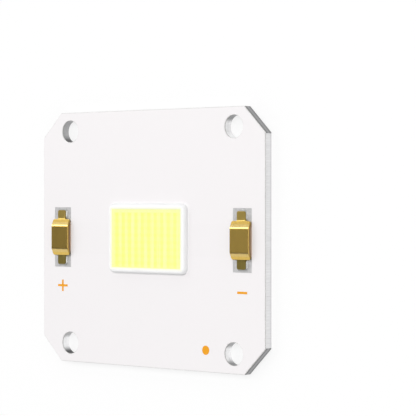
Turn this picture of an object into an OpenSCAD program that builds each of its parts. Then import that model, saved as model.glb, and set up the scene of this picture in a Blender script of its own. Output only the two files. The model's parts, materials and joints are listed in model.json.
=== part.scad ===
// Chip-on-board LED: a metal-core board that carries one large light surface and two wire terminals.
// It lies on its back face. The origin is the middle of that face, +X runs along the board from the
// positive terminal to the negative one, and +Z points out of the front. All sizes are in millimetres.

/* [Board] */
// Length of the board, along X
board_l = 46; // [38:0.5:60]
// Width of the board, along Y
board_w = 40; // [33:0.5:52]
// Leg of the 45 degree cut at each corner
corner_cut = 4; // [1:0.25:4.5]
// Thickness of the aluminium plate
base_t = 1.36; // [0.8:0.02:3]
// Thickness of the insulating layer on the plate
dielectric_t = 0.075; // [0.05:0.005:0.2]
// Thickness of the copper foil
foil_t = 0.035; // [0.018:0.001:0.105]
// Thickness of the white mask where it lies on the foil
mask_t = 0.03; // [0.015:0.005:0.06]
// How far the mask stops short of the board's edges and of the screw holes
mask_pullback = 0.05; // [0.03:0.01:0.3]

/* [Screw holes] */
// Diameter of each hole, clear of an M3 screw
hole_d = 3.5; // [3.2:0.1:4.2]
// From the board's end to a hole's centre, along X
hole_from_end = 6; // [5:0.25:8]
// From the board's side to a hole's centre, along Y
hole_from_side = 3; // [2.75:0.25:5]

/* [Chips] */
// Number of strings, side by side along Y
strings = 8; // [4:1:9]
// Chips in each string, in series along X
chips_per_string = 10; // [4:1:12]
// Length of a chip, along X
chip_l = 0.89; // [0.6:0.01:1.1]
// Width of a chip, along Y
chip_w = 0.76; // [0.4:0.01:0.95]
// Thickness of a chip
chip_t = 0.15; // [0.1:0.01:0.3]
// From one chip to the next in a string
pitch_x = 1.34; // [1.25:0.01:1.65]
// From one string to the next
pitch_y = 1.08; // [1:0.01:1.4]
// Bare metal between the outermost chips and the edge of the insulating layer
die_margin = 0.08; // [0.04:0.01:0.3]
// Width of the bare foil strip between the chips and the dam, which the end wires are bonded to
bus_exposed = 0.24; // [0.2:0.01:0.6]

/* [Bond wires] */
// Side of the wire's square section
wire_t = 0.03; // [0.02:0.005:0.05]
// Height of a wire's loop above the chips
wire_rise = 0.2; // [0.1:0.01:0.4]
// From a chip's end to the middle of the bond on it
bond_inset = 0.145; // [0.08:0.005:0.2]
// Half the length of a bond
bond_half = 0.03; // [0.02:0.005:0.06]

/* [Dam and fill] */
// Width of the dam's bead at its foot
dam_w = 1.2; // [0.8:0.05:1.5]
// Height of the dam above the mask
dam_h = 0.85; // [0.8:0.01:1.2]
// Corner radius of the dam's crest line
crest_r = 0.45; // [0.3:0.05:1]
// Corner radius of the opening that the mask leaves inside the dam
opening_r = 0.1; // [0.05:0.01:0.15]
// How far the light surface lies below the dam's crest
fill_drop = 0.09; // [0.02:0.01:0.15]

/* [Foil] */
// Width of the strip that joins the ends of the strings, along X
bus_w = 1.6; // [0.8:0.1:2.4]
// Width of the track from the strip to the pad, along Y
track_w = 5; // [2:0.5:8]
// How far the foil runs on under the mask round each window
mask_overlap = 0.15; // [0.05:0.01:0.4]

/* [Terminals] */
// From the board's end to the middle of a terminal, along X
term_from_end = 4.35; // [3:0.05:6]
// Length of a terminal over both of its feet, along Y
term_l = 8.7; // [8:0.1:11]
// Length between the bend lines of the two feet
foot_line_l = 5.9; // [5:0.1:7.3]
// How far the wide bridge's shoulders stop short of each foot's bend line
shoulder_back = 0.1; // [0:0.05:0.3]
// Length of the flat top, between its bend lines
top_l = 3.76; // [3:0.02:4.7]
// Width of the bridge, along X
bridge_w = 3.6; // [2.4:0.1:4.4]
// Width of each foot, along X
foot_w = 1.65; // [1.1:0.1:2.2]
// Thickness of the sheet
sheet_t = 0.3; // [0.2:0.01:0.4]
// Clear height under the flat top, for the wire
tunnel_h = 0.5; // [0.4:0.02:0.8]
// Inside radius of every bend
bend_r = 0.5; // [0.3:0.05:0.6]
// Corner radius at the end of a foot
foot_r = 0.3; // [0.1:0.05:0.5]
// Corner radius of the shoulders
shoulder_r = 0.3; // [0.05:0.05:0.4]

/* [Pads and solder] */
// Bare pad beyond each end of a terminal, along Y
pad_end_margin = 0.45; // [0.35:0.05:0.8]
// Bare pad beyond each side of a terminal's bridge, along X
pad_side_margin = 0; // [0:0.05:0.5]
// Thickness of the solder under a foot
solder_t = 0.03; // [0.03:0.005:0.1]
// How far the solder spreads round a foot
solder_spread = 0.25; // [0.1:0.01:0.3]
// How high the solder climbs up a foot's side
solder_climb = 0.14; // [0.05:0.01:0.18]

/* [Printed marks] */
// From the end of a pad to the middle of its polarity mark
mark_from_pad = 3; // [2:0.1:4]
// Length of the plus sign's bar that lies along X
bar_l = 2.15; // [1:0.05:3]
// Length of the plus sign's bar that lies along Y
bar_w = 1.85; // [1:0.05:3]
// Length of the minus sign
minus_l = 1.9; // [1:0.05:3]
// Width of a bar's stroke
stroke = 0.35; // [0.15:0.05:0.5]
// Diameter of the round mark
dot_d = 1.4; // [0.8:0.05:2]
// From the screw hole's centre to the round mark's, along X
dot_from_hole = 5.45; // [4:0.05:8]
// Thickness of the ink
ink_t = 0.02; // [0.01:0.005:0.05]

/* [Hidden] */
$fn = 64;
bend_steps = 6;

dielectric_z = base_t;
foil_z = dielectric_z + dielectric_t;
foil_top = foil_z + foil_t;
board_top = foil_top + mask_t;
chip_top = base_t + chip_t;
cut_over = 1;

hole_x = board_l / 2 - hole_from_end;
hole_y = board_w / 2 - hole_from_side;

window_x = (chips_per_string - 1) * pitch_x / 2 + chip_l / 2 + die_margin;
window_y = (strings - 1) * pitch_y / 2 + chip_w / 2 + die_margin;
dam_in_x = window_x + bus_exposed;
crest_x = dam_in_x + dam_w / 2;
crest_y = window_y + dam_w / 2;
fill_top = board_top + dam_h - fill_drop;

term_x = board_l / 2 - term_from_end;
foot_z = foil_top + solder_t;
pad_w = bridge_w + 2 * pad_side_margin;
pad_l = term_l + 2 * pad_end_margin;
slope = atan2(tunnel_h, (foot_line_l - top_l) / 2);
foot_start = foot_line_l / 2 + bend_r * tan(slope / 2);

mark_y = -(pad_l / 2 + mark_from_pad);
dot_x = hole_x - dot_from_hole;
dot_y = -(hole_y - 0.3);

// Helpers

function mirrored(points) = [for (p = points) [-p.x, p.y]];
function reversed(points) = [for (i = [len(points) - 1:-1:0]) points[i]];

// Points along a round bend, from angle a0 to angle a1 about the centre c
function bend(c, r, a0, a1) =
    [for (i = [0:bend_steps]) let (a = a0 + (a1 - a0) * i / bend_steps) c + r * [cos(a), sin(a)]];

// Where a chip's middle lies along its string, counted from 1
function chip_x(i) = (i - (chips_per_string + 1) / 2) * pitch_x;
function string_y(i) = (i - (strings + 1) / 2) * pitch_y;

// The board's outline, drawn in by the given inset on every side
module board_outline(inset = 0) {
    x = board_l / 2 - inset;
    y = board_w / 2 - inset;
    cut = corner_cut - inset * (2 - sqrt(2));
    polygon([[x, y - cut], [x - cut, y], [cut - x, y], [-x, y - cut],
             [-x, cut - y], [cut - x, -y], [x - cut, -y], [x, cut - y]]);
}

// The board's outline with its four screw holes
module board_plan(inset = 0) {
    difference() {
        board_outline(inset);
        for (sx = [-1, 1], sy = [-1, 1])
            translate([sx * hole_x, sy * hole_y]) circle(d = hole_d + 2 * inset);
    }
}

// A rectangle with round corners, centred
module round_rect(l, w, r) {
    square([l - 2 * r, w], center = true);
    square([l, w - 2 * r], center = true);
    for (sx = [-1, 1], sy = [-1, 1])
        translate([sx * (l / 2 - r), sy * (w / 2 - r)]) circle(r = r);
}

// The opening inside the dam's foot
module light_window() {
    round_rect(2 * dam_in_x, 2 * window_y, opening_r);
}

// Board

module base_plate() {
    color("silver") linear_extrude(base_t) board_plan();
}

module dielectric_layer() {
    color("gray") translate([0, 0, dielectric_z]) linear_extrude(dielectric_t) difference() {
        board_plan();
        square([2 * window_x, 2 * window_y], center = true);
    }
}

// Foil of one side: the pad, the strip beside the chips and the track between them
module track(side) {
    bus_l = 2 * (window_y + mask_overlap);
    color("silver") translate([0, 0, foil_z]) linear_extrude(foil_t) {
        translate([side * term_x, 0])
            square([pad_w + 2 * mask_overlap, pad_l + 2 * mask_overlap], center = true);
        translate([side * (window_x + bus_w / 2), 0]) square([bus_w, bus_l], center = true);
        translate([side * (window_x + term_x) / 2, 0])
            square([term_x - window_x, track_w], center = true);
    }
}

module solder_mask() {
    color("white") difference() {
        translate([0, 0, foil_z]) linear_extrude(foil_t + mask_t) difference() {
            board_plan(mask_pullback);
            light_window();
            for (side = [-1, 1])
                translate([side * term_x, 0]) square([pad_w, pad_l], center = true);
        }
        for (side = [-1, 1]) track(side);
    }
}

// Chips and wires

module chip_string(i) {
    color("deepskyblue") for (k = [1:chips_per_string])
        translate([chip_x(k), string_y(i), base_t + chip_t / 2])
            cube([chip_l, chip_w, chip_t], center = true);
}

// One looped wire, seen from the side: a bond at each end, two legs and a level top
module wire_section(x0, z0, x1, z1) {
    run = 0.35 * (x1 - x0 - 2 * bond_half);
    top = chip_top + wire_rise - wire_t;
    k0 = wire_t * tan(atan2(top - z0, run) / 2);
    k1 = wire_t * tan(atan2(top - z1, run) / 2);
    b = bond_half;
    t = [0, wire_t];
    polygon([[x0 - b, z0], [x0 + b, z0], [x0 + b + run, top],
             [x1 - b - run, top], [x1 - b, z1], [x1 + b, z1],
             [x1 + b, z1] + t, [x1 - b + k1, z1] + t, [x1 - b - run + k1, top] + t,
             [x0 + b + run - k0, top] + t, [x0 + b - k0, z0] + t, [x0 - b, z0] + t]);
}

module bond_wires(i) {
    reach = chip_l / 2 - bond_inset;
    bus_bond = window_x + bus_exposed / 2;
    last = chips_per_string;
    color("gold") translate([0, string_y(i), 0]) rotate([90, 0, 0]) linear_extrude(wire_t, center = true) {
        wire_section(-bus_bond, foil_top, chip_x(1) - reach, chip_top);
        for (k = [1:last - 1])
            wire_section(chip_x(k) + reach, chip_top, chip_x(k + 1) - reach, chip_top);
        wire_section(chip_x(last) + reach, chip_top, bus_bond, foil_top);
    }
}

// Dam and fill

// Section of the bead: straight sides and a half-round top
module dam_section() {
    straight = dam_h - dam_w / 2;
    translate([-dam_w / 2, 0]) square([dam_w, straight]);
    intersection() {
        translate([0, straight]) circle(d = dam_w);
        translate([-dam_w / 2, straight]) square([dam_w, dam_w]);
    }
}

// The bead along one side of the crest line, which runs at the given distance from the middle
module dam_run(length, distance) {
    translate([0, distance, 0]) rotate([90, 0, 90])
        linear_extrude(length, center = true) dam_section();
}

module dam_ring() {
    run_x = 2 * (crest_x - crest_r);
    run_y = 2 * (crest_y - crest_r);
    color("white") translate([0, 0, board_top]) {
        for (a = [0, 180]) rotate([0, 0, a]) dam_run(run_x, crest_y);
        for (a = [90, 270]) rotate([0, 0, a]) dam_run(run_y, crest_x);
        for (sx = [-1, 1], sy = [-1, 1]) mirror([sx < 0 ? 1 : 0, 0, 0]) mirror([0, sy < 0 ? 1 : 0, 0])
            translate([run_x / 2, run_y / 2, 0])
                rotate_extrude(angle = 90) intersection() {
                    translate([crest_r, 0]) dam_section();
                    square([crest_r + dam_w, dam_h]);
                }
    }
}

module phosphor_fill() {
    color("khaki") difference() {
        union() {
            translate([0, 0, base_t]) linear_extrude(foil_top - base_t)
                square([2 * window_x, 2 * window_y], center = true);
            translate([0, 0, foil_top]) linear_extrude(mask_t) light_window();
            translate([0, 0, board_top]) linear_extrude(fill_top - board_top)
                round_rect(2 * crest_x, 2 * crest_y, crest_r);
        }
        dam_ring();
        for (i = [1:strings]) {
            chip_string(i);
            bond_wires(i);
        }
    }
}

// Terminals

// The folded sheet seen along X: two level feet, two slopes and a level top
module sheet_section() {
    foot_c = [foot_start, sheet_t + bend_r];
    top_c = [top_l / 2 - (bend_r + sheet_t) * tan(slope / 2), tunnel_h - bend_r];
    upper = concat([[term_l / 2, sheet_t]],
                   bend(foot_c, bend_r, -90, -90 - slope),
                   bend(top_c, bend_r + sheet_t, 90 - slope, 90));
    lower = concat(bend(top_c, bend_r, 90, 90 - slope),
                   bend(foot_c, bend_r + sheet_t, -90 - slope, -90),
                   [[term_l / 2, 0]]);
    polygon(concat(upper, reversed(mirrored(upper)), reversed(mirrored(lower)), lower));
}

module terminal(side) {
    color("gold") translate([side * term_x, 0, foot_z]) intersection() {
        rotate([90, 0, 90]) linear_extrude(bridge_w, center = true) sheet_section();
        linear_extrude(sheet_t + tunnel_h + cut_over) {
            round_rect(bridge_w, foot_line_l - 2 * shoulder_back, shoulder_r);
            round_rect(foot_w, term_l, foot_r);
        }
    }
}

// Section of the solder that climbs a foot's side, with its hollow face outwards
module fillet_section() {
    polygon([[0, 0], [solder_spread, 0], [0.4 * solder_spread, 0.3 * solder_climb], [0, solder_climb]]);
}

// The solder under one foot and up its two sides and its end; end is 1 at the upper foot, -1 at the lower
module solder_joint(side, end) {
    run_y = term_l / 2 - foot_r - foot_start;
    corner_x = foot_w / 2 - foot_r;
    corner_y = term_l / 2 - foot_r;
    reach_x = foot_w + 2 * solder_spread;
    color("gainsboro") translate([side * term_x, 0, foot_z]) mirror([0, end < 0 ? 1 : 0, 0]) {
        translate([0, 0, -solder_t]) linear_extrude(solder_t) intersection() {
            round_rect(reach_x, term_l + 2 * solder_spread, foot_r + solder_spread);
            translate([-reach_x / 2, foot_start]) square([reach_x, term_l]);
        }
        for (sx = [0, 1]) mirror([sx, 0, 0]) {
            translate([foot_w / 2, corner_y, 0]) rotate([90, 0, 0]) linear_extrude(run_y) fillet_section();
            translate([corner_x, corner_y, 0])
                rotate_extrude(angle = 90) translate([foot_r, 0]) fillet_section();
        }
        translate([-corner_x, term_l / 2, 0]) rotate([90, 0, 90])
            linear_extrude(2 * corner_x) fillet_section();
    }
}

// Printed marks

module ink(x, y) {
    color("orange") translate([x, y, board_top]) linear_extrude(ink_t) children();
}

module plus_mark() {
    ink(-term_x, mark_y) {
        square([bar_l, stroke], center = true);
        square([stroke, bar_w], center = true);
    }
}

module minus_mark() {
    ink(term_x, mark_y) square([minus_l, stroke], center = true);
}

module dot_mark() {
    ink(dot_x, dot_y) circle(d = dot_d);
}

base_plate();
dielectric_layer();
track(-1);  // track_positive
track(1);  // track_negative
solder_mask();
for (i = [1:strings]) {
    chip_string(i);
    bond_wires(i);
}
dam_ring();
phosphor_fill();
terminal(-1);  // terminal_positive
terminal(1);  // terminal_negative
solder_joint(-1, 1);  // solder_positive_upper
solder_joint(-1, -1);  // solder_positive_lower
solder_joint(1, 1);  // solder_negative_upper
solder_joint(1, -1);  // solder_negative_lower
plus_mark();
minus_mark();
dot_mark();
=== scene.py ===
"""Finished look of a chip-on-board LED: one operator per kind of piece, in metres, in the CAD frame.

The board lies on its back face with +Z out of the front. +X runs from the positive terminal to the
negative one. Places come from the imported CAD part; the sizes below are only the finishing ones.
"""
import json
import math
from functools import partialmethod

import bmesh
import bpy
import numpy as np
from bpy.props import FloatProperty, FloatVectorProperty, PointerProperty
from mathutils import Matrix, Vector
from mathutils.geometry import tessellate_polygon


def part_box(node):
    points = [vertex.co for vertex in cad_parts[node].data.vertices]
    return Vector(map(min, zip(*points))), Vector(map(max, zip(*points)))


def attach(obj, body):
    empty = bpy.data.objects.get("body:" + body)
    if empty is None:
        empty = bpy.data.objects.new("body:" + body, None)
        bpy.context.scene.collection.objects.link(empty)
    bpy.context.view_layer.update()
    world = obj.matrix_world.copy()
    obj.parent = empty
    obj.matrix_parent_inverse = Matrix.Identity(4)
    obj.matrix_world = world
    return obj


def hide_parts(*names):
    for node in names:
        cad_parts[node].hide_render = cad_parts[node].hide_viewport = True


bl_info = {
    "name": "Chip-on-board LED finish",
    "version": (1, 0, 0),
    "blender": (4, 5, 0),
    "location": "3D View > Sidebar > LED board",
    "description": "Builds the finished pieces and materials of a chip-on-board LED round its CAD part",
    "category": "Add Mesh",
}

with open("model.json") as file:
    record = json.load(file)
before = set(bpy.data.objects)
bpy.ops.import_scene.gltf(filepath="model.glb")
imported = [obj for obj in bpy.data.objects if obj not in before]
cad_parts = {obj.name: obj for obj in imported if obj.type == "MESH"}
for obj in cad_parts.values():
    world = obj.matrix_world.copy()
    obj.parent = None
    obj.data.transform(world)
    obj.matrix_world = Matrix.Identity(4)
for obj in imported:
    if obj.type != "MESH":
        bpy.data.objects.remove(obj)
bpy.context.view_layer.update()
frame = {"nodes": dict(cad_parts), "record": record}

MM = 0.001
WELD = 1.5e-7
STRINGS = [f"chip_string_{i}" for i in range(1, 9)]
WIRES = [f"bond_wires_{i}" for i in range(1, 9)]
SIDES = ("positive", "negative")
FEET = ("upper", "lower")
HOLE_POINTS = 72
BEAD_POINTS = 25
SIDE_STEPS = 96
GEL_COLUMNS, GEL_ROWS = 241, 161
SOLDER_POINTS = 120
SUPPORT = 0.00004


def corners_of(node):
    """The lowest and highest corner of a CAD node, as arrays."""
    low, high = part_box(node)
    return np.array(low), np.array(high)


def node_points(node):
    """All points of a CAD node, one row each."""
    mesh = frame["nodes"][node].data
    points = np.empty((len(mesh.vertices), 3), np.float32)
    mesh.vertices.foreach_get("co", points.ravel())
    return points.astype(float)


def measured_board():
    """Half length, half width and corner cut of the plate, and its screw holes as x, y, radius."""
    points = node_points("base_plate")
    half_l, half_w = points[:, 0].max(), points[:, 1].max()
    at_end = points[points[:, 0] > half_l - 1e-6]
    bores = [mount for mount in frame["record"]["mounts"] if mount["kind"] == "bore"]
    holes = [(*mount["pos_m"][:2], mount["dims"]["r_mm"] * MM) for mount in bores]
    return half_l, half_w, half_w - at_end[:, 1].max(), holes


HALF_L, HALF_W, CORNER_CUT, HOLES = measured_board()
PLATE_TOP = corners_of("base_plate")[1][2]
FOIL_Z = corners_of("dielectric_layer")[1][2]
FOIL_TOP = corners_of("track_positive")[1][2]
BOARD_TOP = corners_of("solder_mask")[1][2]
PULLBACK = HALF_L - corners_of("solder_mask")[1][0]
DAM_TOP = corners_of("dam_ring")[1]
FILL_TOP = corners_of("phosphor_fill")[1]


# Properties


def number(name, description, default, **settings):
    """A number of zero or more."""
    return FloatProperty(name=name, description=description, default=default, min=0.0, **settings)


def length(name, description, default):
    """A length in metres."""
    return number(name, description, default, unit="LENGTH", precision=5)


def share(name, description, default):
    """A plain share from 0 to 1."""
    return number(name, description, default, max=1.0, subtype="FACTOR")


def triple(name, description, default, **settings):
    """Three numbers, such as a direction."""
    return FloatVectorProperty(name=name, description=description, default=default, size=3, **settings)


def place(name, description, default):
    """A place in metres."""
    return triple(name, description, default, unit="LENGTH")


def colour(name, description, default):
    """A scene-linear colour."""
    return triple(name, description, default, subtype="COLOR", min=0.0, max=1.0)


class PlateSizes(bpy.types.PropertyGroup):
    arris: length("Arris", "Broken edge round the faces of the plate", 0.00006)
    corner_round: length("Corner round", "Rounding of the plate's eight upright corners", 0.00012)
    hole_arris: length("Hole arris", "Broken edge at both ends of each screw hole", 0.00008)


class MaskSizes(bpy.types.PropertyGroup):
    lip: length("Lip", "Rounding of the white coat's upper edges", 0.00003)
    window_round: length("Window round", "Corner radius of the pad windows", 0.0001)
    overlap: length("Overlap", "How far the foil runs on under the coat round a pad window", 0.00015)
    relief: length("Relief", "How far the coat stands up over the foil", 0.000004)


class DamSizes(bpy.types.PropertyGroup):
    corner_round: length("Corner round", "Corner radius of the crest line", 0.00045)
    bead_width: length("Bead width", "Width of the bead at its foot", 0.0012)
    flare: length("Flare", "How far the wet foot creeps out over the board", 0.00005)
    sway: length("Sway", "How far the bead strays from a true line", 0.000008)
    join: length("Join", "Extra height where the bead's two ends run together", 0.000016)


class FillSizes(bpy.types.PropertyGroup):
    rim_rise: length("Rim rise", "How far the gel climbs the dam", 0.00002)
    rim_reach: length("Rim reach", "Width of the climb at the rim", 0.00012)
    pillow: length("Pillow", "Height of the faint swell over each chip", 0.000003)
    pitch_x: length("Pitch along X", "From one chip to the next in a string", 0.00134)
    pitch_y: length("Pitch along Y", "From one string to the next", 0.00108)


class TerminalSizes(bpy.types.PropertyGroup):
    sheet: length("Sheet", "Thickness of the sheet", 0.0003)
    bend: length("Bend", "Inside radius of every bend", 0.00062)
    flat_top: length("Flat top", "Length of the top between its bend lines", 0.00373)
    foot_lines: length("Foot lines", "Length between the bend lines of the feet", 0.0059)
    shoulder_back: length("Shoulder back", "From the shoulders to each foot's bend line", 0.0001)
    shoulder_round: length("Shoulder round", "Corner radius of the shoulders", 0.0003)
    foot_width: length("Foot width", "Width of each foot", 0.00165)
    foot_round: length("Foot round", "Corner radius at the end of a foot", 0.0003)
    edge_round: length("Edge round", "Rolled edge of the stamped sheet", 0.00002)


class SolderSizes(bpy.types.PropertyGroup):
    spread: length("Spread", "How far the solder runs out round a foot", 0.00025)
    climb: length("Climb", "How high the solder climbs a foot's side", 0.00014)


class Finishes(bpy.types.PropertyGroup):
    aluminium: colour("Aluminium", "Bare plate", (0.80, 0.80, 0.805))
    # Painted dark reflection on the cut corners.
    cut_corner_painted_shade: colour("Sawn corners", "Bare metal of the cut corners", (0.27, 0.27, 0.273))
    # Dark end of the painted reflection on the screw holes' walls.
    bore_painted_reflection: colour("Punched holes", "Metal dragged by the punch", (0.16, 0.16, 0.165))
    resin: colour("Resin", "Insulating layer", (0.62, 0.62, 0.60))
    tin: colour("Tin", "Tinned foil of the pads", (0.67, 0.665, 0.67))
    # Painted gold bounce light under the terminals' bridges.
    painted_gold_bounce: colour("Flux", "Stain on the foil under the terminals", (0.78, 0.62, 0.50))
    white_coat: colour("White coat", "Solder mask", (0.893, 0.869, 0.877))
    silicone: colour("Silicone", "Dam round the light surface", (0.960, 0.960, 0.957))
    gel: colour("Gel", "Light surface over the chips", (0.950, 0.985, 0.235))
    gel_light: colour("Pale gel", "Light surface between the chips and at the rim", (0.970, 0.985, 0.44))
    gold: colour("Gold", "Plating of the terminals", (0.85, 0.58, 0.145))
    gold_edge: colour("Gold edge", "Plating on the sheared edges", (0.52, 0.34, 0.085))
    gold_rubbed: colour("Rubbed gold", "Plating on the slopes", (0.87, 0.64, 0.24))
    solder: colour("Solder", "Solder round the feet", (0.58, 0.585, 0.57))
    ink: colour("Ink", "Printed marks", (0.85, 0.36, 0.012))
    chip: colour("Chip", "Chips under the gel", (0.16, 0.30, 0.52))
    floor: share("Floor", "Grey level of the floor", 0.95)


class StageSizes(bpy.types.PropertyGroup):
    camera_place: place("Camera place", "Where the camera stands", (0.19128, 0.00641, 0.21464))
    camera_aim: place("Camera aim", "The middle of the view", (0.01200, 0.00480, 0.00150))
    camera_up: triple("Camera up", "Direction that is up in the view", (-0.0037, 0.99998, -0.0045))
    lens: number("Lens", "Focal length in millimetres on a 36 mm sensor", 159.7)
    key_size: length("Key size", "Width of the small key lamp", 0.46)
    key_power: number("Key power", "Power of the small key lamp", 1.85, unit="POWER")
    fill_size: length("Fill size", "Width of the large overhead lamp", 1.2)
    fill_power: number("Fill power", "Power of the large overhead lamp", 10.2, unit="POWER")
    horizon: share("Horizon", "Light of the room near the horizon", 0.88)
    shade_side: share("Shade side", "Light of the room near the horizon, away from the key lamp", 0.58)
    gap: share("Gap", "Light of the dark band between the bright walls and the ceiling", 0.03)
    ceiling: share("Ceiling", "Light of the room overhead", 0.315)


# Surfaces


def unit(vectors):
    """Each row scaled to length 1."""
    return vectors / np.linalg.norm(vectors, axis=-1, keepdims=True)


def towards(angle):
    """Steps of length 1 in the plane, at these angles."""
    return np.stack([np.cos(angle), np.sin(angle)], -1)


def round_path(corners, radius, steps, support):
    """A closed path round a convex outline, anticlockwise: an arc at every corner, and a point a
    support's length along the straight on either side. Returns the points and outward normals."""
    corners = np.asarray(corners, float)
    arriving = unit(corners - np.roll(corners, 1, 0))
    leaving = np.roll(arriving, -1, 0)
    first = np.stack([arriving[:, 1], -arriving[:, 0]], 1)
    last = np.roll(first, -1, 0)
    cosine = (first * last).sum(1)
    turn = np.arccos(np.clip(cosine, -1, 1))
    start = np.arctan2(first[:, 1], first[:, 0])
    angle = start[:, None] + turn[:, None] * np.linspace(0, 1, steps + 1)
    normal = towards(angle)
    centre = corners - radius * (first + last) / (1 + cosine)[:, None]
    arc = centre[:, None] + radius * normal
    before = arc[:, :1] - support * arriving[:, None]
    after = arc[:, -1:] + support * leaving[:, None]
    points = np.concatenate([before, arc, after], 1).reshape(-1, 2)
    normals = np.concatenate([normal[:, :1], normal, normal[:, -1:]], 1).reshape(-1, 2)
    return points, normals


def even_path(points, normals, count):
    """The same closed path, resampled at even distances along its length."""
    closed, facing = np.vstack([points, points[:1]]), np.vstack([normals, normals[:1]])
    along = np.concatenate([[0], np.cumsum(np.linalg.norm(np.diff(closed, axis=0), axis=1))])
    at = np.linspace(0, along[-1], count, endpoint=False)
    even, turned = (np.stack([np.interp(at, along, k) for k in row.T], 1) for row in (closed, facing))
    return even, unit(turned)


def hole_path(x, y, radius, count):
    """A closed path round a hole. Its normals point to the hole's middle, out of the metal."""
    outwards = towards(np.linspace(0, 2 * np.pi, count, endpoint=False))
    return np.array([x, y]) + radius * outwards, -outwards


def rectangle(half_x, half_y, x=0.0, y=0.0):
    """Four corners of a rectangle, anticlockwise."""
    return np.array([[-1, -1], [1, -1], [1, 1], [-1, 1]]) * [half_x, half_y] + [x, y]


def board_outline(inset):
    """Eight corners of the board's outline, anticlockwise, drawn in by inset on every side."""
    x, y = HALF_L - inset, HALF_W - inset
    cut = CORNER_CUT - inset * (2 - math.sqrt(2))
    return np.array(
        [[x, cut - y], [x, y - cut], [x - cut, y], [cut - x, y],
         [-x, y - cut], [-x, cut - y], [cut - x, -y], [x - cut, -y]]
    )


def raised(plan, heights):
    """Rows of places in the plane, each row at its own height."""
    heights = np.broadcast_to(np.reshape(heights, (-1, 1, 1)), plan.shape[:2] + (1,))
    return np.concatenate([plan, heights], 2)


def carried(path, normals, profile):
    """A profile carried along a path. A profile row is a distance in from the path and a height."""
    return raised(path[None] - profile[:, None, :1] * normals[None], profile[:, 1])


def quarter_in(at, start, radius):
    """How far a quarter circle that begins at start draws an edge in: r * (1 - sqrt(1 - t * t))."""
    over = np.clip((at - start) / radius, 0, 1)
    return radius * (1 - np.sqrt(1 - over**2))


def ring(half_x, half_y, radius, arc_steps, side_steps):
    """A rectangle with round corners: four quarter circles joined by evenly divided sides, the same
    number of points for the same steps. Returns the points and outward normals."""
    angle = np.linspace(0, np.pi / 2, arc_steps + 1)
    points, normals = [], []
    for quarter in range(4):
        facing = towards(angle + quarter * np.pi / 2)
        corner = np.array([[1, 1], [-1, 1], [-1, -1], [1, -1]][quarter]) * [half_x - radius, half_y - radius]
        arc = corner + radius * facing
        span = 2 * (half_x if quarter % 2 == 0 else half_y) - 2 * radius
        along = np.linspace(0, span, side_steps + 1)[1:-1, None] * [-facing[-1, 1], facing[-1, 0]]
        points += [arc, arc[-1] + along]
        normals += [facing, np.repeat(facing[-1:], len(along), 0)]
    return np.concatenate(points), np.concatenate(normals)


def edge_profile(low, high, low_round, high_round, steps=4):
    """An upright wall between two heights whose ends turn in on quarter circles. A short flat run and
    a short straight run beside each keep flats flat in the shading."""
    angle = np.linspace(0, np.pi / 2, steps + 1)
    run = 0.35 * max(low_round, high_round)
    ends = []
    for level, radius, up in ((low, low_round, 1), (high, high_round, -1)):
        arc = np.stack([radius * (1 - np.sin(angle)), level + up * radius * (1 - np.cos(angle))], 1)
        ends.append(np.vstack([[[radius + run, level]], arc, [[0, level + up * (radius + run)]]]))
    profile = np.vstack([ends[0], ends[1][::-1]])
    keep = np.concatenate([[True], np.linalg.norm(np.diff(profile, axis=0), axis=1) > 1e-9])
    return profile[keep]


def grid_faces(rows, columns, wrap_rows, wrap_columns):
    """Four-sided faces of a grid of points, closed round on itself where asked."""
    i = np.arange(rows if wrap_rows else rows - 1)
    j = np.arange(columns if wrap_columns else columns - 1)
    a, b = np.meshgrid(i, j, indexing="ij")
    c, d = (a + 1) % rows, (b + 1) % columns
    corners = [a * columns + b, c * columns + b, c * columns + d, a * columns + d]
    return np.stack(corners, -1).reshape(-1, 4)


def squeezed_grid(half_x, half_y, radius, columns, rows):
    """A flat grid over a rectangle with round corners: a plain grid whose four corner squares are
    squeezed into quarter discs, x to x * sqrt(1 - y * y / 2) and y to y * sqrt(1 - x * x / 2)."""
    x, y = np.meshgrid(np.linspace(-half_x, half_x, columns), np.linspace(-half_y, half_y, rows))
    u = np.clip((np.abs(x) - (half_x - radius)) / radius, 0, 1)
    v = np.clip((np.abs(y) - (half_y - radius)) / radius, 0, 1)
    in_x = radius * (u - u * np.sqrt(1 - v * v / 2))
    in_y = radius * (v - v * np.sqrt(1 - u * u / 2))
    return x - np.sign(x) * in_x, y - np.sign(y) * in_y


def rim_of(grid):
    """The outer loop of a grid of points, anticlockwise."""
    return np.concatenate([grid[0, :-1], grid[:-1, -1], grid[-1, :0:-1], grid[:0:-1, 0]])


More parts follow.
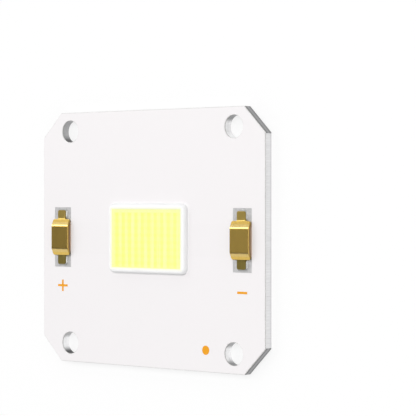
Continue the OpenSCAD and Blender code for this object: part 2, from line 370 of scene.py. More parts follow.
class Shell:
    """Gathers the surfaces that close one piece, then welds them into a mesh that faces outwards."""

    def __init__(self):
        self.points = []
        self.faces = {3: [], 4: []}
        self.count = 0

    def add(self, points, faces):
        """Surface points with faces of three or four corners."""
        self.points.append(points)
        self.faces[faces.shape[1]] += (faces + self.count).tolist()
        self.count += len(points)

    def sheet(self, grid, wrap_rows=False, wrap_columns=False):
        """A grid of points as one surface."""
        rows, columns = grid.shape[:2]
        self.add(grid.reshape(-1, 3), grid_faces(rows, columns, wrap_rows, wrap_columns))

    def lid(self, *loops):
        """A flat surface inside the first loop and outside the others."""
        self.add(np.concatenate(loops), np.array(tessellate_polygon([loop.tolist() for loop in loops])))

    def walls(self, *grids):
        """Closed rings of points as upright walls, with a flat lid at either end of them."""
        for grid in grids:
            self.sheet(grid, wrap_columns=True)
        for end in (0, -1):
            self.lid(*[grid[end] for grid in grids])

    def piece(self, name, sharp_from=math.radians(38)):
        """The welded object, smooth except across edges sharper than the given angle."""
        mesh = bpy.data.meshes.new(name)
        mesh.from_pydata(np.concatenate(self.points), [], self.faces[3] + self.faces[4])
        welded = bmesh.new()
        welded.from_mesh(mesh)
        bmesh.ops.remove_doubles(welded, verts=welded.verts, dist=WELD)
        bmesh.ops.dissolve_degenerate(welded, edges=welded.edges, dist=WELD)
        bmesh.ops.recalc_face_normals(welded, faces=welded.faces)
        open_edges = sum(not edge.is_manifold for edge in welded.edges)
        welded.to_mesh(mesh)
        welded.free()
        mesh.polygons.foreach_set("use_smooth", np.ones(len(mesh.polygons), bool))
        mesh.set_sharp_from_angle(angle=sharp_from)
        if open_edges:
            raise RuntimeError(f"{name} is not closed: {open_edges} open edges")
        return placed_object(name, mesh)


def placed_object(name, data):
    """A new object in the scene."""
    thing = bpy.data.objects.new(name, data)
    bpy.context.scene.collection.objects.link(thing)
    return thing


def hand_over(piece, material, slot, *nodes):
    """Gives a finished piece its material, ties it to the board and hides the nodes it stands for."""
    piece.data.materials.append(material)
    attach(piece, "root")
    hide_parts(*nodes)


def refinish(material, *nodes):
    """Gives CAD nodes that stay in view a new material."""
    for name in nodes:
        node = frame["nodes"][name]
        if not node.material_slots:
            node.data.materials.append(material)
        for slot in node.material_slots:
            slot.material = material


# Material tools


def put(socket, value):
    """Links a value to a socket, or sets the socket to a constant."""
    if isinstance(value, Value):
        socket.id_data.links.new(value.socket, socket)
    else:
        socket.default_value = (*value, 1.0) if socket.type == "RGBA" else value


def new_node(tree, kind, inputs=None, **settings):
    """Adds a node. Each input is a constant or a value."""
    node = tree.nodes.new("ShaderNode" + kind)
    for key, setting in settings.items():
        setattr(node, key, setting)
    for key, value in (inputs or {}).items():
        put(node.inputs[key], value)
    return node


class Value:
    """A node's output that can be reckoned with. Each step adds a node and gives that node's output."""

    def __init__(self, socket):
        self.socket = socket

    def step(self, kind, inputs=None, out=0, **settings):
        """Any further node in the same tree."""
        return Value(new_node(self.socket.id_data, kind, inputs, **settings).outputs[out])

    def maths(self, operation, *others, clamp=False):
        """One arithmetic step, with this value first."""
        return self.step("Math", dict(enumerate((self, *others))), operation=operation, use_clamp=clamp)

    def __rsub__(self, other):
        return self.step("Math", {0: other, 1: self}, operation="SUBTRACT")

    __abs__ = partialmethod(maths, "ABSOLUTE")
    __add__ = partialmethod(maths, "ADD")
    __sub__ = partialmethod(maths, "SUBTRACT")
    __mul__ = partialmethod(maths, "MULTIPLY")
    __truediv__ = partialmethod(maths, "DIVIDE")

    def vector(self, operation, *others, out=0):
        """One step on vectors. Output 1 is a number, such as a length."""
        return self.step("VectorMath", dict(enumerate((self, *others))), out, operation=operation)

    def parts(self):
        """The x, y and z of a vector."""
        return [Value(part) for part in new_node(self.socket.id_data, "SeparateXYZ", {0: self}).outputs]

    def wave(self, pitch, shift=0.0):
        """Cosine of a place along a repeating pitch."""
        return ((self - shift if shift else self) * (2 * math.pi / pitch)).maths("COSINE")

    def ramp(self, low, high, to_low=0.0, to_high=1.0, kind="SMOOTHSTEP"):
        """Carried from one range to another, held at both ends."""
        ranges = dict(enumerate((self, low, high, to_low, to_high)))
        return self.step("MapRange", ranges, interpolation_type=kind)

    def spread(self, low, high):
        """A share spread evenly from low to high."""
        return self.ramp(0.0, 1.0, low, high, "LINEAR")

    def choose(self, a, b):
        """Number a towards number b, by this share."""
        return self.step("Mix", {0: self, 2: a, 3: b}, data_type="FLOAT")

    def blend(self, a, b):
        """Colour a towards colour b, by this share."""
        return self.step("Mix", {0: self, 6: a, 7: b}, 2, data_type="RGBA")

    def shaded(self, level):
        """This colour times a level or a colour."""
        return self.step("Mix", {0: 1.0, 6: self, 7: level}, 2, data_type="RGBA", blend_type="MULTIPLY")

    def mix_shaders(self, a, b):
        """Shader a towards shader b, by this share."""
        return self.step("MixShader", {0: self, 1: a, 2: b})

    def noise(self, scale, contrast, roughness):
        """Layered noise at these coordinates, its contrast spread about one half."""
        inputs = {"Vector": self, "Scale": scale, "Detail": 3.0, "Roughness": roughness}
        return (self.step("TexNoise", inputs) - 0.5).maths("MULTIPLY_ADD", contrast, 0.5, clamp=True)


def fine_grain(vector, per_metre, contrast):
    """Fine grain: layered noise, even in all directions."""
    return [vector.noise(per_metre, contrast, 0.6)]


def drawn_lines(vector, across, along, contrast):
    """Drawn lines: noise squeezed across the lines and stretched along them, lines along Y."""
    stretch = vector.step("CombineXYZ", {"X": across, "Y": along, "Z": across})
    return [vector.vector("MULTIPLY", stretch).noise(1.0, contrast, 0.65)]


def drifting_tone(colour, vector, per_metre, amount):
    """Drifting tone: a slow wander of a colour's brightness."""
    noise = vector.step("TexNoise", {"Vector": vector, "Scale": per_metre, "Detail": 2.0})
    level = ((noise - 0.5) * amount).maths("MULTIPLY_ADD", 2.0, 1.0)
    return [colour.step("VectorMath", {0: colour, "Scale": level}, operation="SCALE")]


def board_rim(vector, half_length, half_width, cut, band):
    """Board rim: 1 at the board's outline, falling to 0 one band further in; the same for its cuts."""
    x, y, _ = vector.vector("ABSOLUTE").parts()
    from_end, from_side = half_length - x, half_width - y
    to_cut = (from_end + from_side - cut) * math.sqrt(0.5)
    nearest = from_end.maths("MINIMUM", from_side).maths("MINIMUM", to_cut)
    return [
        away.step("Math", {0: 1.0, 1: away / band}, operation="SUBTRACT", use_clamp=True)
        for away in (nearest, to_cut)
    ]


def soft_box(vector, centre_x, half_x, half_y, soft):
    """Soft box: 1 inside a rectangle mirrored about X = 0, falling to 0 across a soft edge."""
    x, y, _ = vector.vector("ABSOLUTE").parts()
    depth = (abs(x - centre_x) - half_x).maths("MAXIMUM", y - half_y) / soft
    return [depth.ramp(1.0, -1.0)]


# Each shared effect: its maker, its inputs with their defaults, and its outputs
EFFECTS = {
    "fine grain": (fine_grain, {"Vector": None, "Per metre": 10000.0, "Contrast": 1.0}, ["Grain"]),
    "drawn lines": (
        drawn_lines, {"Vector": None, "Across": 12000.0, "Along": 150.0, "Contrast": 1.0}, ["Lines"]
    ),
    "drifting tone": (
        drifting_tone, {"Colour": None, "Vector": None, "Per metre": 150.0, "Amount": 0.03}, ["Colour"]
    ),
    "board rim": (
        board_rim,
        {"Vector": None, "Half length": HALF_L, "Half width": HALF_W, "Cut": CORNER_CUT, "Band": 0.0005},
        ["Rim", "Cut corner"],
    ),
    "soft box": (
        soft_box,
        {"Vector": None, "Centre X": 0.0, "Half X": 0.001, "Half Y": 0.001, "Soft": 0.0001},
        ["Inside"],
    ),
}
SOCKET_KINDS = {"Vector": "NodeSocketVector", "Colour": "NodeSocketColor"}


def shared_effect(label):
    """The node group of a shared effect, made once."""
    if label in bpy.data.node_groups:
        return bpy.data.node_groups[label]
    maker, inputs, outputs = EFFECTS[label]
    tree = bpy.data.node_groups.new(label, "ShaderNodeTree")
    for way, names in (("INPUT", inputs), ("OUTPUT", outputs)):
        for name in names:
            kind = SOCKET_KINDS.get(name, "NodeSocketFloat")
            socket = tree.interface.new_socket(name, in_out=way, socket_type=kind)
            if way == "INPUT" and inputs[name] is not None:
                socket.default_value = inputs[name]
    given = tree.nodes.new("NodeGroupInput").outputs[:len(inputs)]
    results = tree.nodes.new("NodeGroupOutput").inputs
    for result, value in zip(results, maker(*[Value(socket) for socket in given])):
        put(result, value)
    return tree


class Finish:
    """A new material, with its constants set on the shader."""

    def __init__(self, name, metallic, roughness, specular=0.5):
        self.material = bpy.data.materials.new(name)
        self.material.use_nodes = True
        self.tree = self.material.node_tree
        self.shader = self.tree.nodes["Principled BSDF"]
        self.feed("Metallic", metallic)
        self.feed("Roughness", roughness)
        self.feed("Specular IOR Level", specular)
        coords = new_node(self.tree, "TexCoord").outputs
        self.place = Value(coords["Object"])
        self.normal = Value(coords["Normal"])

    def feed(self, socket, value):
        """Feeds one of the shader's sockets."""
        put(self.shader.inputs[socket], value)

    def done(self, colour, roughness=None, height=None, depth=1.0):
        """Feeds the colour, the roughness and a bump, in units of depth metres. Returns the material."""
        self.feed("Base Color", colour)
        if roughness is not None:
            self.feed("Roughness", roughness)
        if height is not None:
            self.feed("Normal", height.step("Bump", {"Strength": 1.0, "Distance": depth, "Height": height}))
        return self.material

    def speckled(self, grain, dark, pale, rough, depth):
        """A finish whose colour, roughness and bump all follow one grain. Returns the material."""
        return self.done(grain.blend(dark, pale), grain.spread(*rough), grain, depth)

    def placed(self, label, *values, vector=None, out=0):
        """A shared effect with its own values, at the piece's own coordinates unless others are given."""
        names = [name for name in EFFECTS[label][1] if name != "Vector"]
        inputs = {"Vector": self.place if vector is None else vector, **dict(zip(names, values))}
        return self.place.step("Group", inputs, out, node_tree=shared_effect(label))

    grain = partialmethod(placed, "fine grain")
    lines = partialmethod(placed, "drawn lines")
    tone = partialmethod(placed, "drifting tone")
    rim = partialmethod(placed, "board rim")
    box = partialmethod(placed, "soft box")


def scaled(colour, factor):
    """A colour made darker or brighter."""
    return tuple(min(1.0, factor * c) for c in colour)


# Materials


def bore_walls_painted_reflection(metal, look):
    """The screw holes' walls: 1 beside a hole, and the wall's colour. The colour is a painted reflection,
    bright in the middle and dark at the ends, different for each hole, with drag marks round it."""
    hole_x, hole_y, radius = (abs(value) for value in HOLES[0])
    x, y, _ = metal.place.parts()
    facing = metal.normal.parts()[1]
    from_hole = x.step("CombineXYZ", {"X": abs(x) - hole_x, "Y": abs(y) - hole_y})
    beside = from_hole.vector("LENGTH", out=1).ramp(radius + 0.00015, radius + 0.00025, 1.0, 0.0)
    round_at = metal.normal.vector("MULTIPLY", (1.6, 1.6, 0.0))
    drag_at = metal.place.vector("MULTIPLY_ADD", (55.0, 55.0, 2300.0), round_at)
    drag = metal.grain(1.0, 2.0, vector=drag_at)
    # Painted reflection: how bright each stretch of a wall is drawn, per hole, for its middle, its end
    # facing -Y and its end facing +Y.
    middle = (y.ramp(-hole_y, hole_y) * x.ramp(-hole_x, hole_x, 1.0, 0.25)).spread(1.0, 0.32)
    far = (x + y).ramp(-2 * hole_x, 2 * hole_x, 0.36, 0.17, "LINEAR")
    near = y.ramp(-hole_y, hole_y, 0.38, 1.0) * x.ramp(-hole_x, hole_x, 0.0, 1.0)
    painted_shine = facing.ramp(-0.30, -0.75).choose(middle, far)
    painted_shine = facing.ramp(0.25, 0.95).choose(painted_shine, near) * drag.spread(0.78, 1.16)
    # Painted shade: dark ends where the wall faces +Y, lighter where the painted glint is bright.
    painted_dark_ends = facing.ramp(0.55, 0.95) * (1.0 - near) * 0.85
    return beside, painted_dark_ends.blend(painted_shine.blend(look.bore_painted_reflection, (0.97, 0.97, 0.975)), (0.035, 0.035, 0.036))


def aluminium_material(look):
    """Rolled aluminium: lines along Y on the faces, upright shear marks on the sides, cut corners rougher
    with a painted dark reflection and a painted lighter streak along their middle, painted reflection in the
    screw holes.
    """
    metal = Finish("rolled aluminium", 1.0, 0.34)
    x, y, z = metal.place.parts()
    face = metal.normal.vector("ABSOLUTE").parts()[2].ramp(0.6, 0.8)
    upright = 1.0 - face
    round_edge = y.maths("ARCTAN2", x) * 0.02
    shear_at = x.step("CombineXYZ", {"X": x + round_edge, "Y": z, "Z": y})
    shear = metal.lines(7000.0, 420.0, 1.8, vector=shear_at)
    pattern = face.choose(shear, metal.lines(9000.0, 60.0, 2.2))
    corner = metal.rim(HALF_L, HALF_W, CORNER_CUT, 0.00012, out=1).ramp(0.0, 0.35) * upright
    # Painted highlight: a lighter streak along the middle of each cut corner, over the corners' painted dark
    # reflection.
    painted_cut_streak = abs(z - 0.52 * PLATE_TOP).ramp(0.00005, 0.00042, 1.0, 0.0) * 0.5
    side = z.ramp(0.00015, 0.0005).blend((0.70, 0.70, 0.71), look.aluminium)
    bare = corner.blend(side, painted_cut_streak.blend(look.cut_corner_painted_shade, (0.56, 0.56, 0.57)))
    # Painted reflection on the screw holes' walls.
    beside, bore_painted_reflection = bore_walls_painted_reflection(metal, look)
    colour = face.blend((beside * upright).blend(bare, bore_painted_reflection), look.aluminium)
    colour = colour.shaded(pattern.spread(0.86, 1.08)).shaded(metal.tone((1, 1, 1), 220.0, 0.05))
    rough = corner.maths("MULTIPLY_ADD", 0.15, pattern.spread(0.26, 0.44))
    return metal.done(colour, rough, pattern, 0.0000025)


def resin_material(look):
    """Filled resin seen at the board's rim: grey, matt, with dark and pale specks."""
    resin = Finish("filled resin", 0.0, 0.6)
    dark, pale = scaled(look.resin, 0.62), scaled(look.resin, 1.35)
    return resin.speckled(resin.grain(26000.0, 2.4), dark, pale, (0.5, 0.72), 0.000004)


def tin_material(look):
    """Tinned foil: dull, slightly pebbled, mottled where it cooled; under the bridges a painted gold bounce,
    warm brown and less metallic, in the bridges' shade.
    """
    tin = Finish("tinned foil", 1.0, 0.55)
    pebble = tin.grain(9000.0, 1.8)
    cooled = tin.grain(1400.0, 1.6).blend(scaled(look.tin, 0.80), scaled(look.tin, 1.12))
    bounce_half = 0.0026
    # Painted reflected light: warmer, paler, less metallic foil under the bridges, standing in for light
    # bounced off the gold into their shade.
    painted_gold_bounce = tin.box(0.0, HALF_L, bounce_half, 0.0003)
    tin.feed("Metallic", painted_gold_bounce.spread(1.0, 0.15))
    colour = painted_gold_bounce.blend(cooled.shaded(pebble.spread(0.90, 1.05)), look.painted_gold_bounce)
    return tin.done(colour, pebble.spread(0.46, 0.64), pebble, 0.000006)


def coat_material(look, sizes):
    """White solder mask: satin, with a faint orange peel and the foil's edges just telling through."""
    coat = Finish("white coat", 0.0, 0.36)
    foil_low, foil_high = corners_of("track_negative")
    term_low, term_high = corners_of("terminal_negative")
    pad_x = (term_low[0] + term_high[0]) / 2
    boxes = [
        (pad_x, foil_high[0] - pad_x, foil_high[1]),
        (foil_low[0] + 0.0008, 0.0008, DAM_TOP[1] - 0.00105),
        ((foil_low[0] + pad_x) / 2, (pad_x - foil_low[0]) / 2, 0.0025),
    ]
    foil = 0.0
    for box in boxes:
        foil = coat.box(*box, 0.00012).maths("MAXIMUM", foil)
    peel = coat.grain(2600.0, 1.2)
    colour = (foil * 0.05).blend(coat.tone(look.white_coat, 130.0, 0.006), (0.80, 0.79, 0.78))
    cut = CORNER_CUT - PULLBACK * (2 - math.sqrt(2))
    rim = coat.rim(HALF_L - PULLBACK, HALF_W - PULLBACK, cut, 0.00016)
    colour = (rim * 0.18).blend(colour, (0.62, 0.62, 0.61))
    colour = colour.shaded(coat.grain(16000.0, 1.5).spread(0.988, 1.008))
    return coat.done(colour, peel.spread(0.30, 0.42), foil * sizes.relief + peel * 0.0000015)


def silicone_material(look):
    """Cured white silicone: soft satin, with painted shade greyer down its flanks and darker on those facing
    -X and -Y, tinged by the gel, and painted contact shade at its foot.
    """
    bead = Finish("white silicone", 0.0, 0.42)
    grain = bead.grain(5200.0, 1.4)
    # Painted contact shade: darker grey at the bead's foot.
    painted_contact_shade = bead.place.parts()[2].ramp(BOARD_TOP + 0.00001, BOARD_TOP + 0.00013, 1.0, 0.0)
    reach = 0.00018
    glow = bead.box(0.0, *(FILL_TOP[:2] + reach), 0.0003)
    # Painted shade: flanks greyer the steeper they are, darker where they face -X and -Y, except where the
    # gel tinge lies.
    turned = bead.normal.vector("DOT_PRODUCT", (-0.6, -0.8, 0.0), out=1).ramp(0.0, 0.55)
    painted_flank_shade = bead.normal.parts()[2].ramp(0.995, 0.72) * (1.0 - glow)
    colour = (painted_contact_shade * 0.55).blend(look.silicone, (0.50, 0.505, 0.51))
    colour = painted_flank_shade.blend(colour, turned.blend((0.90, 0.90, 0.905), (0.78, 0.785, 0.79)))
    colour = glow.blend(colour, (0.950, 0.955, 0.65)).shaded(grain.spread(0.985, 1.005))
    return bead.done(colour, grain.spread(0.36, 0.5), grain, 0.000002)


def gel_material(look, sizes):
    """Phosphor gel: lemon, paler between the columns of chips and along the rim, with settled grains."""
    gel = Finish("phosphor gel", 0.0, 0.3)
    x, y, _ = gel.place.parts()
    half_x, half_y, _ = FILL_TOP
    grain = gel.grain(11000.0, 1.8)
    wander = gel.grain(900.0, 2.4, vector=gel.place.vector("MULTIPLY", (1.0, 0.12, 0.0)))
    columns = x.wave(sizes.pitch_x).ramp(-0.75, 0.65) * wander.spread(0.12, 0.90)
    rows = y.wave(sizes.pitch_y, sizes.pitch_y / 2).ramp(-0.6, 0.9)
    gaps = rows.maths("MULTIPLY_ADD", -0.14, columns) + x.ramp(-half_x, half_x, 0.20, 0.32)
    moved = gel.place.vector("ADD", (-0.00015, 0.0002, 0.0))
    border = (1.0 - gel.box(0.0, half_x - 0.0003, half_y - 0.0003, 0.0002, vector=moved)) * 0.95
    colour = gaps.maths("MAXIMUM", border, clamp=True).blend(look.gel, look.gel_light)
    return gel.done(colour.shaded(grain.spread(0.975, 1.015)), grain.spread(0.25, 0.36), grain, 0.0000015)


def gold_material(look):
    """Gold plate on rolled sheet: fine lines along Y, browner and duller on the sheared edges, rubbed on the
    slopes, duller on the feet under a film whose darker colour is partly painted shade, darkest on the lower
    feet."""
    gold = Finish("gold plate", 1.0, 0.24)
    x, y, z = gold.place.parts()
    level = gold.normal.parts()[2]
    lines = gold.lines(4200.0, 90.0, 1.9, vector=x.step("CombineXYZ", {"X": x, "Y": y}))
    sheared = gold.normal.vector("ABSOLUTE").parts()[0].ramp(0.55, 0.9)
    slope = level.ramp(0.70, 0.86) * level.ramp(0.995, 0.97)
    rubbed = slope * z.ramp(BOARD_TOP + 0.0005, BOARD_TOP + 0.0006)
    colour = rubbed.blend(sheared.blend(look.gold, look.gold_edge), look.gold_rubbed)
    colour = colour.shaded(lines.spread(0.88, 1.06)).shaded(gold.grain(15000.0, 1.5).spread(0.95, 1.03))
    haze = z.ramp(BOARD_TOP + 0.000325, BOARD_TOP + 0.00035, 1.0, 0.0)
    # The feet's darker colour is partly a dull film and partly painted shade, darker on the lower feet
    # (towards -Y).
    film_and_painted_shade = y.ramp(-0.003, 0.003).blend((0.44, 0.50, 0.56), (0.66, 0.70, 0.78))
    rough = lines.spread(0.15, 0.22)
    for where, more in ((sheared, 0.14), (haze, 0.12), (rubbed, 0.05)):
        rough = where.maths("MULTIPLY_ADD", more, rough)
    return gold.done(haze.blend(colour, colour.shaded(film_and_painted_shade)), rough, lines, 0.0000003)


def solder_material(look):
    """Solder: bright where it wetted, frosted where it froze."""
    solder = Finish("solder", 1.0, 0.45)
    frost = solder.grain(6000.0, 2.0)
    return solder.speckled(frost, scaled(look.solder, 0.78), look.solder, (0.38, 0.62), 0.000006)


def ink_material(look):
    """Screen-printed ink: matt, a little thin in places."""
    ink = Finish("orange ink", 0.0, 0.55, specular=0.1)
    pale = tuple(c + (1 - c) * 0.02 for c in look.ink)
    return ink.speckled(ink.grain(8000.0, 1.8), look.ink, pale, (0.48, 0.64), 0.000004)


def chip_material(look, sizes):
    """Chip: dark blue crystal with pale metal fingers along it and a bond pad at each end."""
    chip = Finish("chip crystal", 0.0, 0.14)
    x, y, _ = chip.place.parts()
    end = x.wave(sizes.pitch_x, sizes.pitch_x / 2)
    pads = end.ramp(0.15, 0.1) * end.ramp(-0.1, -0.05)
    metal = y.wave(sizes.pitch_y / 3).ramp(0.93, 0.97).maths("MAXIMUM", pads)
    crystal = chip.grain(30000.0, 1.0).blend(look.chip, scaled(look.chip, 1.25))
    chip.feed("Metallic", metal)
    return chip.done(metal.blend(crystal, (0.80, 0.68, 0.40)))


def wire_material(look):
    """Drawn gold wire."""
    wire = Finish("bond wire", 1.0, 0.2)
    grain = wire.grain(20000.0, 1.5)
    return wire.done(grain.blend(look.gold, (0.95, 0.70, 0.28)), grain.spread(0.15, 0.28))


# Pieces


def make_plate(sizes, look):
    """The plate: its upright wall, with both arrises broken, carried round the outline and round each
    screw hole, and a flat lid on each face between them."""
    shell = Shell()
    wall, bore = (edge_profile(0.0, PLATE_TOP, size, size) for size in (sizes.arris, sizes.hole_arris))
    outline = round_path(board_outline(0.0), sizes.corner_round, 5, SUPPORT)
    holes = [carried(*hole_path(*hole, HOLE_POINTS), bore) for hole in HOLES]
    shell.walls(carried(*outline, wall), *holes)
    hand_over(shell.piece("plate_machined"), aluminium_material(look), "aluminium_plate", "base_plate")


def make_coat(sizes, look):
    """The white coat: a thin sheet with a soft upper lip round its outline, the screw holes, the pad
    windows and the light window."""
    shell = Shell()
    lip = edge_profile(FOIL_Z, BOARD_TOP, 0.0, sizes.lip, 3)
    corner_round = 0.00012
    grids = [carried(*round_path(board_outline(PULLBACK), corner_round, 4, SUPPORT), lip)]
    grids += [carried(*hole_path(x, y, radius + PULLBACK, HOLE_POINTS), lip) for x, y, radius in HOLES]
    windows = [(*light_window(), 0.0)]
    for side in SIDES:
        low, high = corners_of("terminal_" + side)
        half_y = corners_of("track_" + side)[1][1] - sizes.overlap
        windows.append(((high[0] - low[0]) / 2, half_y, (high[0] + low[0]) / 2))
    for window in windows:
        path, normals = round_path(rectangle(*window), sizes.window_round, 5, support=0.00003)
        grids.append(carried(path, -normals, lip))
    shell.walls(*grids)
    hand_over(shell.piece("white_coat"), coat_material(look, sizes), "white_mask", "solder_mask")


def light_window():
    """Half sizes of the opening inside the dam's foot."""
    sizes = bpy.context.scene.led_dam
    return DAM_TOP[:2] - sizes.bead_width


def make_dam(sizes, look):
    """The dam: a bead, flat below, straight at the sides and round above, flared at its foot, carried
    along the crest line. Whole sines round it sway it by a hair."""
    half = sizes.bead_width / 2
    straight = DAM_TOP[2] - BOARD_TOP - half
    around = np.linspace(0, np.pi, BEAD_POINTS)
    bow = np.stack([-half * np.cos(around), BOARD_TOP + straight + half * np.sin(around)], 1)
    foot = np.linspace(0, 1, 5)
    creep = np.stack([sizes.flare * (1 - foot) ** 2, BOARD_TOP + 0.9 * sizes.flare * foot], 1)
    inner, outer = (np.stack([side * (half + creep[:, 0]), creep[:, 1]], 1) for side in (-1, 1))
    profile = np.vstack([inner, bow, outer[::-1]])
    plan = []
    for out in profile[:, 0]:
        radius = max(sizes.corner_round + out, 0.00001)
        points, normals = ring(DAM_TOP[0] - half + out, DAM_TOP[1] - half + out, radius, 16, SIDE_STEPS)
        plan.append(points)
    grid = raised(np.array(plan), profile[:, 1])
    x, y, _ = grid[len(foot) + BEAD_POINTS // 2].T
    turn = np.arctan2(y, x) % (2 * np.pi)
    sway = np.sin(5 * turn + 0.6) + 0.7 * np.sin(11 * turn + 2.1) + 0.5 * np.sin(23 * turn + 4.0)
    swell = np.sin(7 * turn + 1.3) + 0.6 * np.sin(17 * turn)
    join = np.exp(-(((turn - 5.9) / 0.10) ** 2))
    height = (grid[..., 2] - BOARD_TOP) / (DAM_TOP[2] - BOARD_TOP)
    grid[..., :2] += (sizes.sway * sway * height)[..., None] * normals[None]
    lift = 0.35 * sizes.sway * swell + sizes.join * join
    grid[..., 2] += height * (lift - lift.max())
    shell = Shell()
    shell.sheet(grid, wrap_rows=True, wrap_columns=True)
    hand_over(shell.piece("dam_bead"), silicone_material(look), "white_silicone", "dam_ring")


def make_fill(sizes, dam, look):
    """The fill: a squeezed grid for the light surface, z = level + rise * exp(-distance to rim / reach)
    + pillow * cos * cos over the chips, on a wall that follows the dam's inner side down to the plate."""
    top = FILL_TOP[2]
    half = dam.bead_width / 2
    *crest, middle = DAM_TOP - half

    def inside(z):
        """Half sizes and corner radius of the opening at height z."""
        back = math.sqrt(max(half**2 - max(z - middle, 0.0) ** 2, 0.0))
        return crest[0] - back, crest[1] - back, max(dam.corner_round - back, 0.00001)

    def level(z, half_x, half_y, radius):
        """A level grid over such an opening."""
        x, y = squeezed_grid(half_x, half_y, radius, GEL_COLUMNS, GEL_ROWS)
        return np.stack([x, y, np.full_like(x, z)], -1)

    overlap = 0.000012
    half_x, half_y, radius = inside(top + sizes.rim_rise)
    surface = level(top, half_x + overlap, half_y + overlap, radius)
    x, y = surface[..., 0], surface[..., 1]
    to_rim = np.minimum(half_x + overlap - np.abs(x), half_y + overlap - np.abs(y))
    past_x, past_y = np.abs(x) - (half_x - radius), np.abs(y) - (half_y - radius)
    to_rim = np.where((past_x > 0) & (past_y > 0), radius + overlap - np.hypot(past_x, past_y), to_rim)
    swell = np.cos(2 * np.pi * (x / sizes.pitch_x - 0.5)) * np.cos(2 * np.pi * (y / sizes.pitch_y - 0.5))
    surface[..., 2] += sizes.rim_rise * np.exp(-to_rim / sizes.rim_reach) + sizes.pillow * swell
    window = (*np.minimum(die_window(), light_window() - 0.000004), inside(middle)[2])
    steps = [(z, *inside(z)) for z in np.linspace(top, middle, 6)]
    steps += [(FOIL_TOP, *inside(middle)), (FOIL_TOP, *window), (PLATE_TOP, *window)]
    rings = [rim_of(surface), *(rim_of(level(*step)) for step in steps)]
    shell = Shell()
    shell.sheet(surface)
    shell.sheet(np.array(rings), wrap_columns=True)
    shell.lid(rings[-1])
    hand_over(shell.piece("gel_fill"), gel_material(look, sizes), "phosphor_gel", "phosphor_fill")


def die_window():
    """Half sizes of the opening in the insulating layer."""
    points = np.abs(node_points("dielectric_layer")[:, :2])
    return points[points.max(1) < HALF_W / 2].max(0)


def sheet_line(sizes, low, high):
    """The middle line of a terminal's folded sheet from its middle outwards, as functions of the
    distance y: its height and its tilt. Level top, arc, slope, arc, level foot."""
    half = sizes.sheet / 2
    tunnel = high[2] - low[2] - sizes.sheet
    tilt = math.atan2(tunnel, (sizes.foot_lines - sizes.flat_top) / 2)
    radius = sizes.bend + half
    top_y = sizes.flat_top / 2 - (sizes.bend + sizes.sheet) * math.tan(tilt / 2)
    foot_y = sizes.foot_lines / 2 + sizes.bend * math.tan(tilt / 2)
    top_z = low[2] + tunnel - sizes.bend
    foot_z = low[2] + sizes.sheet + sizes.bend
    ends = (top_y + radius * math.sin(tilt), foot_y - radius * math.sin(tilt))
    slope_z = top_z + radius * math.cos(tilt)

    def line(y):
        upper = np.arcsin(np.clip((y - top_y) / radius, 0, math.sin(tilt)))
        lower = np.arcsin(np.clip((foot_y - y) / radius, 0, math.sin(tilt)))
        where = [y <= top_y, y <= ends[0], y <= ends[1], y <= foot_y]
        angle = np.select(where, [0 * y, upper, 0 * y + tilt, lower], 0.0)
        heights = [
            0 * y + low[2] + tunnel + half,
            top_z + radius * np.cos(upper),
            slope_z - (y - ends[0]) * math.tan(tilt),
            foot_z - radius * np.cos(lower),
        ]
        return np.select(where, heights, low[2] + half), angle

    return line, (top_y, *ends, foot_y)


def make_terminal(side, sizes, material):
    """A terminal: a flat section with rolled edges carried along the folded middle line. Its half width
    is the bridge's, then the foot's, drawn in on quarter circles at the shoulders and the foot's end."""
    low, high = corners_of("terminal_" + side)
    line, breaks = sheet_line(sizes, low, high)
    bridge, foot = (high[0] - low[0]) / 2, sizes.foot_width / 2
    end = high[1]
    shoulder = sizes.foot_lines / 2 - sizes.shoulder_back
    step = 0.00002
    stops = [0, *breaks, end - sizes.foot_round]
    runs = [np.linspace(*ends, count) for *ends, count in zip(stops, stops[1:], (7, 9, 6, 9, 6))]
    rounds = ((shoulder, sizes.shoulder_round, 9), (end, sizes.foot_round, 9), (end, sizes.edge_round, 5))
    arcs = [at - radius + radius * np.sin(np.linspace(0, np.pi / 2, count)) for at, radius, count in rounds]
    stations = np.unique(np.round(np.concatenate([*runs, *arcs, [breaks[0] - 0.00005, shoulder + step]]), 8))
    at_shoulder, at_foot, at_edge = (quarter_in(stations, at - radius, radius) for at, radius, _ in rounds)
    half_x = np.where(stations <= shoulder + step / 2, bridge - at_shoulder, foot - at_foot) - at_edge
    half_z = sizes.sheet / 2 - at_edge
    half_x, half_z = (np.concatenate([half[:0:-1], half])[:, None] for half in (half_x, half_z))
    stations = np.concatenate([-stations[:0:-1], stations])

    # A section point is a share of the flat half width and half height, plus its place on the rolled edge
    turn = np.linspace(0, np.pi / 2, 4)
    sine, cosine = np.sin(turn), np.cos(turn)
    flat = np.concatenate([[-0.985], np.linspace(-0.8, 0.8, 9), [0.985]])
    even, odd, none = np.ones(4), np.ones(len(flat)), np.zeros(len(flat))
    share_x, share_z, roll_x, roll_z = (np.concatenate(row) for row in (
        [even, flat[::-1], -even, -even, flat, even],
        [even, odd, even, -even, -odd, -even],
        [cosine, none, -sine, -cosine, none, sine],
        [sine, odd, cosine, -sine, -odd, -cosine],
    ))
    roll = np.minimum(sizes.edge_round, 0.98 * half_z)
    off_x = share_x * (half_x - roll) + roll_x * roll
    off_z = share_z * (half_z - roll) + roll_z * roll
    height, tilt = line(np.abs(stations))
    tilt = (tilt * np.sign(stations))[:, None]
    grid = np.stack([
        (low[0] + high[0]) / 2 + off_x,
        stations[:, None] + off_z * np.sin(tilt),
        height[:, None] + off_z * np.cos(tilt),
    ], -1)
    shell = Shell()
    shell.walls(grid)
    piece = shell.piece(f"terminal_{side}_sheet", math.radians(35))
    hand_over(piece, material, "gold_sheet", "terminal_" + side)


